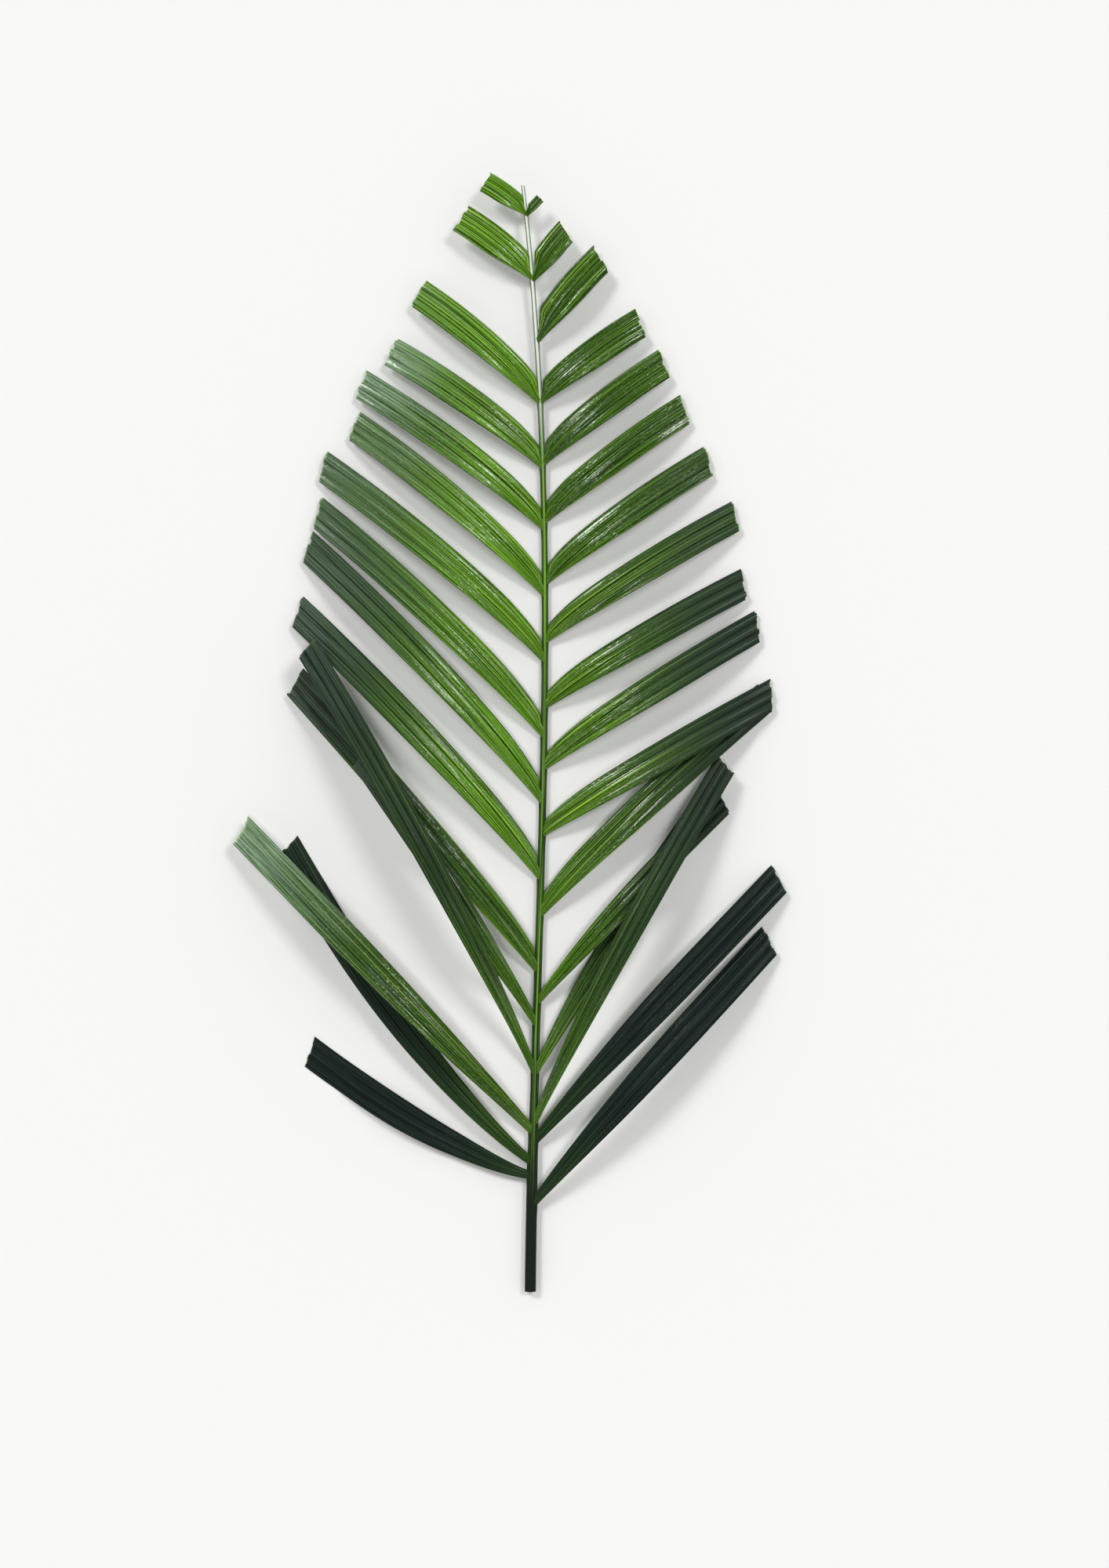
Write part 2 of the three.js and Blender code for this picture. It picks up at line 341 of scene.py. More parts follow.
def trimmed_leaflets(half):
    """The leaflets of one side that end on the trimmed outline."""
    outline = half["outline"]
    first_bend, last_bend = half["bend"]
    for k in range(half["count"]):
        if k in half["missing"]:
            continue
        seed = half["side"] * (k + 1)
        down = k / (half["count"] - 1)
        run = half["pitch"] * k + half["pitch_growth"] * k * (k - 1) / 2
        root = half["first_root"] - run + ROOT_DRAW * (draw(seed, ROOT_SEED) - 0.5)
        near_tip = half["tip_lean"] * (1 - smooth(k, *TIP_LEAN_FADE))
        near_foot = half["foot_lean"] * down ** 2
        lean = math.radians(half["lean"] + near_tip + near_foot + LEAN_DRAW * (draw(seed, LEAN_SEED) - 0.5))
        reach = trimmed_reach(outline, root, lean, 0) + REACH_DRAW * (draw(seed, REACH_SEED) - 0.5)
        width = full_width(root, reach)
        upper = trimmed_reach(outline, root, lean, width / 2)
        lower = trimmed_reach(outline, root, lean, -width / 2)
        grey = 1 - float(smooth(root, *half["grey"]))
        yield {
            "side": half["side"],
            "root": root,
            "lean": lean,
            "length": reach,
            "width": width,
            "bend": math.radians(first_bend * (1 - down) + last_bend * down),
            "lift": 0,
            "slant": min(MOST_SLANT, (upper - lower) / width),
            "shade": 0,
            "deep": half["deep"],
            "grey": grey,
            "painted_sheen": half["painted_sheen"] * grey,
            "tip_shade": TIP_SHADE * (1 - float(smooth(root, *half["tip_shade"]))),
        }


def foot_leaflets(half):
    """The leaflets at the foot of one side, which cross each other."""
    for root, lean, reach, bend, lift, shade in half["foot"]:
        yield {
            "side": half["side"],
            "root": root * MM,
            "lean": math.radians(lean),
            "length": reach * MM,
            "width": full_width(root * MM, reach * MM),
            "bend": math.radians(bend),
            "lift": lift * MM,
            "slant": FOOT_SLANT,
            "shade": shade,
            "deep": FOOT_DEEP_GREEN_AND_SHADE,
            "grey": FOOT_GREY,
            "painted_sheen": half["painted_sheen"] * (1 - shade),
            "tip_shade": TIP_SHADE if shade else 0,
        }


def leaflets(half):
    """All the leaflets of one side, from the tip of the leaf down."""
    return [*trimmed_leaflets(half), *foot_leaflets(half)]


# Leaflet blades

STATION_STEP = 5 * MM
LEAST_STATIONS = 16
ROOT_CROWDING = 1.2
STATIONS_BEFORE_CUT = (1.0 * MM, 2.2 * MM, 4.0 * MM)
COLUMNS_PER_PLEAT = 28
BLADE_SHARP_ANGLE = 55

# Where along a leaflet an edge reaches its full width, and how bluntly. Low leaflets have
# two straight edges.
ROUND_EDGE = (0.28, 0.5)
STRAIGHT_EDGE = (0.7, 1.15)
STRAIGHT_BELOW = 250 * MM

# The uneven cut is felt over this last share of the length. It steps from one half fold to the next.
CUT_RUN = 0.18
CUT_STEP = (0.35, 0.65)

# Folds and ribs: how round they are, how low the least rib is, how the ribs crowd together, and where along
# the leaflet they begin and, on grey leaflets, fade.
PLEAT_ROUNDING = 2.6
RIB_ROUNDING = 2
LEAST_RIB = 0.25
RIB_SWAY = 0.36
RIB_WAVES = 5.3
RIB_START = (0.02, 0.2)
RIB_FADE = 0.5
RIB_FADE_RUN = (0.3, 0.9)

# Slow ripples: their length over a full turn, how far one edge lags, and where they begin.
RIPPLE_LENGTH = 132 * MM
RIPPLE_LAG = 1.5
RIPPLE_START = (0.1, 0.4)

# What a leaflet's draws are used for. The cut and the ribs take one draw after another from their first.
CUT_DRAWS = 0
RIPPLE_DRAW = 40
RIB_SWAY_DRAW = 59
RIB_DRAWS = 60
SHEEN_DRAW = 50008

# Tones and painted light along a leaflet: where its tip turns grey, partly painted sheen, where blackish
# green, partly painted shade, spreads from the root or to the tip, where the root stays fresh, where the
# painted sheen on the tips lies, and the draw above which a leaflet has that sheen in full.
GREY_RUN = (0.3, 0.95)
SHADE_RUN = (0.05, 0.45)
TIP_SHADE_RUN = (0.2, 0.95)
FRESH_RUN = (0.1, 0.55)
SHEEN_RUN = (0.6, 1.0)
SHEEN_ABOVE = 0.91

# How fresh a root stays, how dark the darkest root is, and the darkness above which a blade is blackish.
ROOT_FRESHNESS = 0.6
DARKEST_ROOT = 0.85
DARK_BLADE_ABOVE = 0.7


def edge_share(along, edge, root_share):
    """The share of its full half width that an edge has at shares of a leaflet's length."""
    full, power = edge
    left = 1 - np.minimum(1, along / full)
    return root_share + (1 - root_share) * (1 - left * left) ** power


def stations_along(reach):
    """Shares of the length where a blade has cross sections, closer at the root and at the cut tip."""
    count = max(LEAST_STATIONS, round(reach / STATION_STEP))
    even = np.linspace(0, 1, count + 1) ** ROOT_CROWDING
    close = 1 - np.array(STATIONS_BEFORE_CUT) / reach
    return np.unique(np.concatenate([even, close]))


def middle_line(leaf, along):
    """The middle line's places and headings along a leaflet, seen from above. The bend is sharpest at the
    root. The mean of twice a square root from 0 to 1 is 4/3, so the mean heading is the lean."""
    def heading(share):
        return leaf["lean"] + leaf["bend"] * (4 / 3 - 2 * np.sqrt(share))
    steps = np.diff(along) * leaf["length"]
    between = heading((along[:-1] + along[1:]) / 2)
    x = np.concatenate([[0], np.cumsum(np.cos(between) * steps)])
    y = np.concatenate([[0], np.cumsum(np.sin(between) * steps)])
    return x, y, heading(along)


def fold_profile(across, seed):
    """Heights from 0 to 1 of the rounded folds and of the fine ribs on them, and each rib's own share of
    the full rib depth, at shares across the blade from -1 to 1."""
    pleats, ribs = settings().leaflet.pleats, settings().leaflet.ribs
    # The last column stays just inside the last fold.
    fold = np.minimum((across + 1) / 2 * pleats, pleats - 1e-9)
    crest = 1 - np.abs(2 * (fold % 1) - 1) ** PLEAT_ROUNDING
    rib = fold * ribs + RIB_SWAY * np.sin(fold * RIB_WAVES + 2 * math.pi * draw(seed, RIB_SWAY_DRAW))
    line = 1 - np.abs(2 * (rib % 1) - 1) ** RIB_ROUNDING
    # The sway can carry a rib's number one below the first and one above the last.
    draws = np.array([draw(seed, RIB_DRAWS + k) for k in range(pleats * ribs + 2)])
    strength = LEAST_RIB + (1 - LEAST_RIB) * draws[np.floor(rib).astype(int) + 1]
    return crest, line, strength


def cut_shift(leaf, seed, across):
    """How far the uneven, slanted cut reaches past the blade's length, over the half width."""
    sizes = settings().leaflet
    halves = 2 * sizes.pleats
    knots = np.array([draw(seed, CUT_DRAWS + k) - 0.5 for k in range(halves + 1)])
    place = (across + 1) * sizes.pleats
    low = np.minimum(np.floor(place).astype(int), halves - 1)
    step = smooth(place - low, *CUT_STEP)
    return sizes.jag * (knots[low] * (1 - step) + knots[low + 1] * step) + leaf["slant"] * across


def blade_plan(leaf, seed, stalk, along, across):
    """The blade seen from above: its points, their offsets from the middle line, how far the cut shifts
    them, and the share of the full width that the blade has there. Past its root the upper edge keeps off
    the stalk."""
    sizes = settings().leaflet
    half = leaf["width"] / 2
    x, y, angle = (values[:, None] for values in middle_line(leaf, along[:, 0]))
    root_share = min(sizes.root_share, sizes.root_in_stalk * float(stalk["width"]) / half)
    upper = edge_share(along, STRAIGHT_EDGE if leaf["root"] < STRAIGHT_BELOW else ROUND_EDGE, root_share)
    lower = edge_share(along, STRAIGHT_EDGE, root_share)
    inward = sizes.root_in_stalk * (stalk["width"] - 2 * np.minimum(x, stalk["width"]))
    room = (x + inward) / np.sin(angle)
    share = np.where(across > 0, upper, lower)
    offset = across * np.where(across > 0, np.minimum(half * upper, room), half * lower)
    near_cut = np.clip((along - 1 + CUT_RUN) / CUT_RUN, 0, 1)
    shift = cut_shift(leaf, seed, across) * half * near_cut
    sideways = offset * math.cos(sizes.roll)
    blade_x = stalk["x"] + leaf["side"] * (x + shift * np.cos(angle) - sideways * np.sin(angle))
    blade_y = stalk["y"] + y + shift * np.sin(angle) + sideways * np.cos(angle)
    return blade_x, blade_y, offset, shift, share


def blade_height(leaf, seed, stalk, along, across, share, folds):
    """The height of the blade's middle layer: an arch with folds, fine ribs and slow ripples on it."""
    sizes = settings().leaflet
    crest, line, strength = folds
    root_height = stalk["underside"] + sizes.root_height * stalk["height"]
    tip_height = stalk["underside"] + sizes.tip_clearance
    climb = sizes.rise * leaf["length"]
    arch = root_height + climb * along + (tip_height - root_height - climb) * along ** 2
    lift = leaf["lift"] * smooth(along, 0, sizes.lift_run)
    fold = share * (sizes.pleat_depth * (crest - 0.5) + sizes.crown * (1 - across * across))
    rib_share = smooth(along, *RIB_START) * (1 - RIB_FADE * leaf["grey"] * smooth(along, *RIB_FADE_RUN))
    fine = sizes.rib_depth * strength * (line - 0.5) * rib_share
    turns = along * leaf["length"] / RIPPLE_LENGTH + draw(seed, RIPPLE_DRAW)
    ripple = sizes.ripple * np.sin(2 * math.pi * turns + RIPPLE_LAG * across) * smooth(along, *RIPPLE_START)
    return arch + lift + fold + fine + ripple


def blade(leaf, seed):
    """The upper and lower points of a leaflet's blade, with what its material reads at each point."""
    sizes = settings().leaflet
    stalk = stalk_at(np.array(leaf["root"]))
    along = stations_along(leaf["length"])[:, None]
    across = np.linspace(-1, 1, COLUMNS_PER_PLEAT * sizes.pleats + 1)[None, :]
    x, y, offset, shift, share = blade_plan(leaf, seed, stalk, along, across)
    folds = fold_profile(across, seed)
    z = blade_height(leaf, seed, stalk, along, across, share, folds) - offset * math.sin(sizes.roll)
    from_root = along * leaf["length"]
    bulge = np.exp(-(from_root / sizes.root_bulge_run) ** 2) * (1 - across * across)
    thick = sizes.thickness + sizes.root_bulge * bulge
    bottom = np.maximum(0, z - thick / 2)
    crest, line, strength = (np.broadcast_to(values, z.shape) for values in folds)
    reads = {
        "along": np.broadcast_to(along, z.shape),
        "across_m": offset,
        "along_m": from_root + shift,
        "crest": crest,
        "line": line,
        "vein": strength,
    }
    return np.stack([x, y, bottom + thick], axis=-1), np.stack([x, y, bottom], axis=-1), reads


def blade_tones_and_painted_light(leaf, seed, along):
    """Along a blade: its grey, partly painted sheen; its blackish and deeper green, partly painted shade;
    its painted sheen on the tips; and its streaks' seed.
    """
    dark_root = DARKEST_ROOT * leaf["shade"]
    foot_dark = leaf["shade"] * (dark_root + (1 - dark_root) * smooth(along, *SHADE_RUN))
    tip_dark = leaf["tip_shade"] * smooth(along, *TIP_SHADE_RUN)
    fresh_root = ROOT_FRESHNESS * leaf["tip_shade"]
    # Painted sheen: in full on a few drawn leaflets, else the share of its side.
    painted_sheen = 1 if draw(seed, SHEEN_DRAW) > SHEEN_ABOVE else leaf["painted_sheen"]
    return {
        "dull": leaf["grey"] * smooth(along, *GREY_RUN),
        "dark": np.maximum(foot_dark, tip_dark),
        "deep": leaf["deep"] * (1 - fresh_root * (1 - smooth(along, *FRESH_RUN))),
        "painted_sheen": painted_sheen * smooth(along, *SHEEN_RUN),
        "grain": np.full(along.shape, float(seed)),
    }


def closed_sheet(rows, columns, flip):
    """The quads of a thin closed sheet: an upper grid of points, a lower one and the rim between them."""
    grid = np.arange(rows * columns).reshape(rows, columns)
    under = grid + rows * columns

    def quads(*corners):
        return np.stack([corner.ravel() for corner in corners], axis=1)

    faces = np.concatenate([
        quads(grid[:-1, :-1], grid[1:, :-1], grid[1:, 1:], grid[:-1, 1:]),
        quads(under[:-1, :-1], under[:-1, 1:], under[1:, 1:], under[1:, :-1]),
        quads(grid[:-1, 0], under[:-1, 0], under[1:, 0], grid[1:, 0]),
        quads(grid[:-1, -1], grid[1:, -1], under[1:, -1], under[:-1, -1]),
        quads(grid[0, :-1], grid[0, 1:], under[0, 1:], under[0, :-1]),
        quads(grid[-1, :-1], under[-1, :-1], under[-1, 1:], grid[-1, 1:]),
    ])
    return (faces[:, ::-1] if flip else faces).tolist()


def new_piece(name, points, faces, attributes, material, sharp_angle):
    """A smooth mesh object with float attributes, riding on the leaf's body in place of its solid."""
    mesh = bpy.data.meshes.new(name)
    mesh.from_pydata(points.tolist(), [], faces)
    for key, values in attributes.items():
        attribute = mesh.attributes.new(key, "FLOAT", "POINT")
        attribute.data.foreach_set("value", np.ravel(values).astype(np.float32))
    mesh.materials.append(material)
    mesh.shade_smooth()
    mesh.set_sharp_from_angle(angle=math.radians(sharp_angle))
    if mesh.validate():
        raise RuntimeError(f"{name} has bad faces")
    piece = bpy.data.objects.new(name, mesh)
    bpy.context.scene.collection.objects.link(piece)
    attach(piece, BODY)
    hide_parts(NODE)
    return piece


def make_leaflet(leaf, seed, name):
    """One leaflet: a closed pleated blade with the readings that its material uses."""
    top, low, reads = blade(leaf, seed)
    reads.update(blade_tones_and_painted_light(leaf, seed, reads["along"]))
    rows, columns = top.shape[:2]
    points = np.concatenate([top.reshape(-1, 3), low.reshape(-1, 3)])
    faces = closed_sheet(rows, columns, leaf["side"] < 0)
    attributes = {key: np.concatenate([np.ravel(values)] * 2) for key, values in reads.items()}
    attributes["under"] = np.repeat([0.0, 1.0], rows * columns)
    material = dark_blade_material() if leaf["shade"] > DARK_BLADE_ABOVE else blade_material()
    new_piece(name, points, faces, attributes, material, BLADE_SHARP_ANGLE)


def make_half(half, first_seed):
    """All the leaflets of one side."""
    for k, leaf in enumerate(leaflets(half)):
        make_leaflet(leaf, first_seed + k, f"leaflet_{half['name']}_{k + 1:02d}")


# Stalk

# Half of the stalk's section in half widths and heights, from the keel round to the middle of the face.
STALK_SECTION = ((0.45, 0), (0.88, 0.25), (1, 0.52), (0.9, 0.75), (0.62, 0.91), (0.22, 1))
SECTION_SMOOTHINGS = 3
STALK_STEP = 3 * MM
STALK_SIDES = 64
STALK_SHARP_ANGLE = 40

# The two grooves, in half widths, on the face above this height.
GROOVE_PLACE = 0.5
GROOVE_WIDTH = 0.16
FACE_ABOVE = 0.6

# The stalk swells along this run at a root, most above the flank's height, and less where it is thin.
SWELLING_RUN = 7 * MM
FLANK_HEIGHT = 0.714
FULL_SWELLING_WIDTH = 5 * MM


def stalk_section():
    """The stalk's rounded section, in half widths and heights, from the keel's right corner round to its
    left, and how deep it lies in a groove at each point."""
    right = list(STALK_SECTION)
    left = [(-w, h) for w, h in reversed(STALK_SECTION)]
    corners = np.array(right + left + right[:1])
    runs = np.concatenate([[0], np.cumsum(np.linalg.norm(np.diff(corners, axis=0), axis=1))])
    even = np.linspace(0, runs[-1], STALK_SIDES, endpoint=False)
    section = np.stack([np.interp(even, runs, corners[:, k]) for k in (0, 1)], axis=1)
    for _ in range(SECTION_SMOOTHINGS):
        section = (np.roll(section, 1, 0) + 2 * section + np.roll(section, -1, 0)) / 4
    section[:, 1] -= section[:, 1].min()
    from_groove = (np.abs(section[:, 0]) - GROOVE_PLACE) / GROOVE_WIDTH
    grooves = np.exp(-from_groove ** 2) * (section[:, 1] > FACE_ABOVE)
    section[:, 1] -= settings().stalk.groove * grooves
    return section, grooves


def stalk_swelling(stations, widths, section):
    """How far, from 0 to 1, the stalk's flanks swell at the roots of its leaflets."""
    swelling = np.zeros((len(stations), len(section)))
    for leaf in leaflets(LEFT) + leaflets(RIGHT):
        near = np.exp(-((stations - leaf["root"]) / SWELLING_RUN) ** 2)
        flank = np.clip(section[:, 0] * leaf["side"], 0, 1) * np.clip(section[:, 1] / FLANK_HEIGHT, 0, 1)
        swelling = np.maximum(swelling, np.outer(near, flank))
    return swelling * np.minimum(1, widths / FULL_SWELLING_WIDTH)[:, None]


def make_stalk():
    """The stalk: petiole and rachis in one tapered, ribbed body with a flat keel and a plain cut end."""
    sizes = settings().stalk
    section, grooves = stalk_section()
    stations = np.linspace(0, sizes.length, round(sizes.length / STALK_STEP) + 1)
    at = stalk_at(stations)
    swelling = stalk_swelling(stations, at["width"], section)
    half = at["width"][:, None] / 2 + sizes.swelling * swelling
    x = at["x"][:, None] + section[None, :, 0] * half
    y = np.broadcast_to(at["y"][:, None], x.shape)
    z = at["underside"][:, None] + section[None, :, 1] * at["height"][:, None]
    points = np.stack([x, y, z], axis=-1)
    rows, columns = x.shape
    ring = np.arange(rows * columns).reshape(rows, columns)
    after = np.roll(ring, -1, axis=1)
    sides = np.stack([ring[:-1], ring[1:], after[1:], after[:-1]], axis=-1).reshape(-1, 4).tolist()
    cut_end, tip_end = ring[0].tolist(), ring[-1][::-1].tolist()
    attributes = {
        "station_m": np.broadcast_to(stations[:, None], x.shape),
        "groove": np.broadcast_to(grooves[None, :], x.shape),
        "around": np.broadcast_to(np.linspace(0, 1, columns)[None, :], x.shape),
        "face": np.broadcast_to(section[None, :, 1], x.shape),
        "swelling": swelling,
    }
    faces = [*sides, cut_end, tip_end]
    stalk = new_piece("stalk", points.reshape(-1, 3), faces, attributes, rind_material(), STALK_SHARP_ANGLE)
    stalk.data.materials.append(pith_material())
    stalk.data.polygons[len(sides)].material_index = 1


# Materials

# Nodes by a plain word: Blender's type, its settings, the inputs in the order they are given, and the
# output. A ramp is given what it reads, the two ends of the range that counts, and the shares that they
# turn to, which are 0 and 1 if left out.
NODE_KINDS = {
    "reading": ("ShaderNodeAttribute", {"attribute_type": "GEOMETRY"}, (), "Fac"),
    "place": ("ShaderNodeTexCoord", {}, (), "Object"),
    "direction": ("ShaderNodeTexCoord", {}, (), "Generated"),
    "height": ("ShaderNodeSeparateXYZ", {}, (0,), "Z"),
    "point": ("ShaderNodeCombineXYZ", {}, ("X", "Y", "Z"), 0),
    "noise": ("ShaderNodeTexNoise", {}, ("Vector", "Scale", "Detail"), 0),
    "cells": ("ShaderNodeTexVoronoi", {}, ("Vector", "Scale"), "Distance"),
    "add": ("ShaderNodeMath", {"operation": "ADD"}, (0, 1), 0),
    "times": ("ShaderNodeMath", {"operation": "MULTIPLY"}, (0, 1), 0),
    "larger": ("ShaderNodeMath", {"operation": "MAXIMUM"}, (0, 1), 0),
    "ramp": ("ShaderNodeMapRange", {"interpolation_type": "SMOOTHSTEP"},
             ("Value", "From Min", "From Max", "To Min", "To Max"), 0),
    "mix": ("ShaderNodeMix", {"data_type": "RGBA"}, (0, 6, 7), 2),
    "bump": ("ShaderNodeBump", {}, ("Strength", "Distance", "Height", "Normal"), 0),
}

# Streaks along a blade: width, run and detail. The real fibres and dashes of wax are about half as wide.
# They are drawn coarser, or they would not show.
BLADE_STREAKS = {
    "fibre": (0.8 * MM, 50 * MM, 2),
    "shade": (3.5 * MM, 120 * MM, 2),
    "patch": (18 * MM, 45 * MM, 2),
    "dash": (0.8 * MM, 3.5 * MM, 2),
    "gleam": (2 * MM, 70 * MM, 0),
}
BLADE_READINGS = ("along", "across_m", "along_m", "crest", "line", "vein",
                  "dull", "dark", "deep", "painted_sheen", "grain", "under")

# Blade materials: name, roughness and specular level.
GREEN_BLADE = ("glycerined_leaf", 0.42, 0.1)
DARK_BLADE = ("glycerined_leaf_dark", 0.58, 0.06)

# Reliefs: strength and depth.
BLADE_RELIEF = (0.6, 0.25 * MM)
LEAF_IOR = 1.45
WAX_IOR = 1.6
WAX_ROUGHNESS = 0.14

# Streaks along the rind. The real lines are about half a millimetre wide. They are drawn twice as wide, or
# they would not show.
RIND_GIRTH = 16 * MM
RIND_LINES = (1.0 * MM, 90 * MM, 0)
RIND_BLOTCHES = (5 * MM, 30 * MM, 2)
RIND_READINGS = ("station_m", "around", "face", "groove", "swelling")
RIND_RELIEF = (0.6, 0.25 * MM)
RIND_SPECULAR = 0.15

FIBRE_SPACING = 0.7 * MM
PITH_RELIEF = (0.6, 0.2 * MM)
PAPER_GRAIN = 2 * MM

# How far apart the streaks of one seed and the next lie in the noise.
SEED_SPACING = 3.7


def fill(tree, node, inputs):
    """Links outputs to a node's inputs and sets the other inputs. A colour gets its alpha here."""
    for key, value in inputs.items():
        socket = node.inputs[key]
        if isinstance(value, bpy.types.NodeSocket):
            tree.links.new(value, socket)
        elif socket.type == "RGBA":
            socket.default_value = (*value, 1)
        else:
            socket.default_value = value


def add_node(tree, kind, *inputs, **values):
    """Adds a node with its settings, sets or links its inputs in order, and returns its output."""
    node_type, kind_values, sockets, output = NODE_KINDS[kind]
    node = tree.nodes.new(node_type)
    for key, value in {**kind_values, **values}.items():
        setattr(node, key, value)
    fill(tree, node, dict(zip(sockets, inputs)))
    return node.outputs[output]


def new_material(name):
    """A new node material, with its tree and its shader."""
    material = bpy.data.materials.new(name)
    material.use_nodes = True
    return material, material.node_tree, material.node_tree.nodes["Principled BSDF"]


def streaks(node, across, along, seed, width, run, detail):
    """Noise drawn out along a piece, in streaks of a width and a run in metres."""
    place = node("point", node("times", across, 1 / width), node("times", along, 1 / run),
                 node("times", seed, SEED_SPACING))
    return node("noise", place, 1, detail)


def rib_greens(node, reads, marks, lit):
    """Fresh green, brighter along ribs and fibres, yellower on strong ribs, with dark green streaks. It
    turns deeper green on the right half, as painted shade, and at the foot, partly as painted shade.
    """
    colours = settings().colours
    fresh = node("mix", lit, colours.fresh, colours.crest)
    deep = node("mix", lit, colours.valley, colours.fresh)
    hue = node("mix", reads.deep, fresh, deep)
    rib_top = node("ramp", reads.line, 0.55, 0.95, 0, 0.42)
    strong = node("times", rib_top, node("ramp", reads.vein, 0.78, 0.95))
    hue = node("mix", strong, hue, colours.vein)
    return node("mix", node("ramp", marks.shade, 0.48, 0.72, 0, 0.55), hue, colours.valley)


def tip_and_foot_greens(node, reads, marks, lit, hue):
    """Grey green towards the tips, partly painted sheen, yellow green at the roots, and blackish green at
    the leaf's foot, partly painted shade.
    """
    colours = settings().colours
    grey = node("times", reads.dull, node("ramp", marks.patch, 0.2, 0.7, 0.6, 1))
    hue = node("mix", grey, hue, node("mix", node("times", lit, 0.3), colours.dull, colours.under))
    hue = node("mix", node("ramp", reads.along, 0, 0.1, 0.6, 0), hue, colours.root)
    return node("mix", reads.dark, hue, node("mix", node("times", lit, 0.2), colours.dark, colours.dull))


def painted_fold_shade(node, reads, marks, hue):
    """Painted shade in deeper green between the folds and, broken up along the fibres, between the ribs:
    less on grey tips and beside weak ribs."""
    colours = settings().colours
    rib_gap_shade = node("ramp", reads.line, 0, 0.5, 1, 0)
    rib_gap_shade = node("times", rib_gap_shade, node("ramp", marks.fibre, 0.3, 0.7, 0.25, 0.8))
    rib_gap_shade = node("times", rib_gap_shade, node("ramp", reads.dull, 0, 1, 1, 0.5))
    rib_gap_shade = node("times", rib_gap_shade, node("ramp", reads.vein, 0.3, 0.8, 0.4, 1))
    fold_shade = node("larger", rib_gap_shade, node("ramp", reads.crest, 0, 0.45, 0.8, 0))
    return node("mix", fold_shade, hue, node("mix", reads.dark, colours.valley, colours.dark))


def pale_marks(node, reads, marks, hue):
    """Painted sheen on some tips, painted highlights along the folds of grey tips, the dry edge of the cut,
    and the matt underside."""
    colours = settings().colours
    painted_sheen = node("times", reads.painted_sheen, node("ramp", marks.fibre, 0.44, 0.6, 0.08, 0.6))
    # Painted highlights on the fold crests of grey tips.
    fold_highlight = node("ramp", reads.crest, 0.994, 0.999)
    fold_highlight = node("times", fold_highlight, node("ramp", marks.patch, 0.35, 0.6, 0.1, 0.5))
    fold_highlight = node("times", fold_highlight, node("ramp", reads.dark, 0, 0.6, 1, 0.25))
    painted_highlights = node("larger", painted_sheen, node("times", fold_highlight, reads.dull))
    hue = node("mix", painted_highlights, hue, colours.painted_sheen)
    rim = node("ramp", reads.along, 0.993, 0.999)
    rim = node("times", rim, node("ramp", reads.dark, 0.3, 0.8, 0.5, 0.05))
    hue = node("mix", rim, hue, colours.rim)
    return node("mix", node("times", reads.under, 0.6), hue, colours.under)


def wax_glaze(node, reads, marks):
    """Where the wax shines: short dashes in patches and long gleams, with hardly any on blackish blades."""
    dashes = node("ramp", marks.dash, 0.54, 0.68)
    dashes = node("times", dashes, node("ramp", marks.patch, 0.35, 0.6, 0.3, 1))
    glaze = node("larger", dashes, node("ramp", marks.gleam, 0.54, 0.62))
    return node("times", glaze, node("ramp", reads.dark, 0, 0.7, 1, 0.06))


def leaf_material(name, roughness, specular):
    """The preserved blade: glycerined leaf, supple and waxy. Fine ribs catch the light, and the lines
    between them carry painted shade in deeper green. The tips are grey, partly painted sheen, and the
    leaflets at the foot are blackish, partly painted shade. Its wax is a thin coat that gives streaks of
    gloss, and painted glints lie in its colour."""
    material, tree, shader = new_material(name)
    node = partial(add_node, tree)
    reads = SimpleNamespace(**{key: node("reading", attribute_name=key) for key in BLADE_READINGS})
    marks = SimpleNamespace(**{key: streaks(node, reads.across_m, reads.along_m, reads.grain, *streak)
                               for key, streak in BLADE_STREAKS.items()})
    lit = node("add", node("times", reads.line, 0.5), node("times", marks.fibre, 0.9))
    lit = node("ramp", lit, 0.48, 1.04)
    hue = rib_greens(node, reads, marks, lit)
    hue = tip_and_foot_greens(node, reads, marks, lit, hue)
    hue = painted_fold_shade(node, reads, marks, hue)
    hue = pale_marks(node, reads, marks, hue)
    glaze = wax_glaze(node, reads, marks)
    # Painted glints: pale specks mixed into the colour where the wax shines.
    painted_glint = node("times", glaze, node("ramp", marks.dash, 0.54, 0.68, 0, 0.18))
    fibres = node("bump", *BLADE_RELIEF, marks.fibre)
    relief = node("bump", *BLADE_RELIEF, marks.dash, fibres)
    fill(tree, shader, {
        "Base Color": node("mix", painted_glint, hue, settings().colours.rim),
        "Roughness": roughness,
        "IOR": LEAF_IOR,
        "Specular IOR Level": specular,
        "Normal": relief,
        "Coat Weight": glaze,
        "Coat Roughness": WAX_ROUGHNESS,
        "Coat IOR": WAX_IOR,
        "Coat Normal": relief,
    })
    return material


def blade_material():
    """The green blade, made once."""
    return bpy.data.materials.get(GREEN_BLADE[0]) or leaf_material(*GREEN_BLADE)


def dark_blade_material():
    """The blackish blade of the leaflets at the foot, made once. It is more matt."""
    return bpy.data.materials.get(DARK_BLADE[0]) or leaf_material(*DARK_BLADE)


